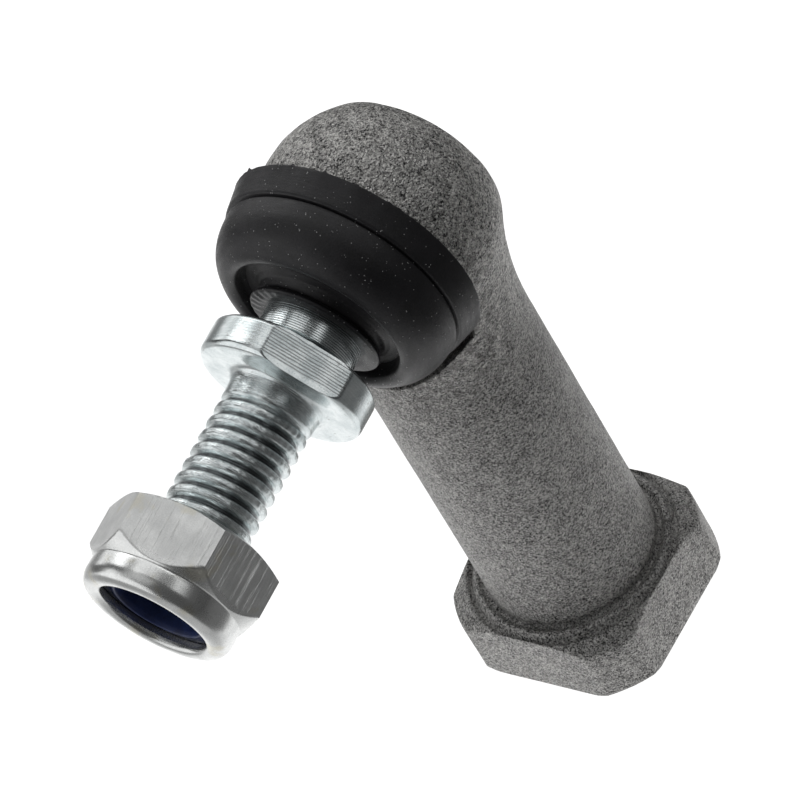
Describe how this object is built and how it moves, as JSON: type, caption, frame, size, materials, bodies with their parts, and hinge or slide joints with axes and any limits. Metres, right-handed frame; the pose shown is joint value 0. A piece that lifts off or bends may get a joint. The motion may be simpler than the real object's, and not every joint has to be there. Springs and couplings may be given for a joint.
{
  "type": "tie rod end",
  "caption": "Small tie rod end: shank with square spanner end, booted ball joint and threaded stud with nylon-insert lock nut.",
  "frame": {"origin": "centre of the rod thread's mouth, in the shank's end face", "axes": "+Z along the shank from the end face towards the head; +X out of the head's mouth, towards the stud; +Y completes the right-handed frame"},
  "size_m": [0.0359, 0.0168, 0.0471],
  "materials": {
    "housing_steel": "shot-blasted, matt",
    "zinc_plated_steel": "bright zinc plated, turned",
    "nut_zinc": "zinc plated, satin flats",
    "boot_rubber": "satin moulded rubber",
    "ring_steel": "dark spring steel",
    "acetal": "smooth",
    "nylon_blue": "satin"
  },
  "bodies": {
    "housing": {"housing": "housing_steel", "seat_ring": "acetal", "retaining_ring": "ring_steel", "boot": "boot_rubber"},
    "liner": {"ball_liner": "acetal"},
    "neck": {"boot_neck_ring": "ring_steel"},
    "stud": {"ball_stud": "zinc_plated_steel"},
    "nut_ring": {"nylon_insert": "nylon_blue"},
    "nut": {"lock_nut": "nut_zinc"}
  },
  "joints": [
    {"name": "stud_swing_side", "type": "hinge", "parent": "housing", "child": "liner", "pos_m": [0.0013, 0, 0.0387], "axis": [0, 0, 1], "range_deg": [-11.4, 16.6], "deforming": ["boot"]},
    {"name": "stud_swing_fore_aft", "type": "hinge", "parent": "liner", "child": "neck", "pos_m": [0.0013, 0, 0.0387], "axis": [0.0454, 0.999, 0], "range_deg": [-20.1, 7.9]},
    {"name": "stud_spin", "type": "hinge", "parent": "neck", "child": "stud", "pos_m": [0.0013, 0, 0.0387], "axis": [0.9933, -0.0451, -0.1063], "continuous": true},
    {"name": "nut_travel", "type": "slide", "parent": "stud", "child": "nut_ring", "axis": [0.9933, -0.0451, -0.1063], "range_m": [-0.008, 0.003]},
    {"name": "nut_turn", "type": "hinge", "parent": "nut_ring", "child": "nut", "pos_m": [0.02246, -0.00096, 0.03644], "axis": [0.9933, -0.0451, -0.1063], "range_deg": [-2880.1, 1080.1]}
  ],
  "couplings": [
    {"joint": "nut_turn", "follows": "nut_travel", "rad_per_m": 6283.2}
  ]
}
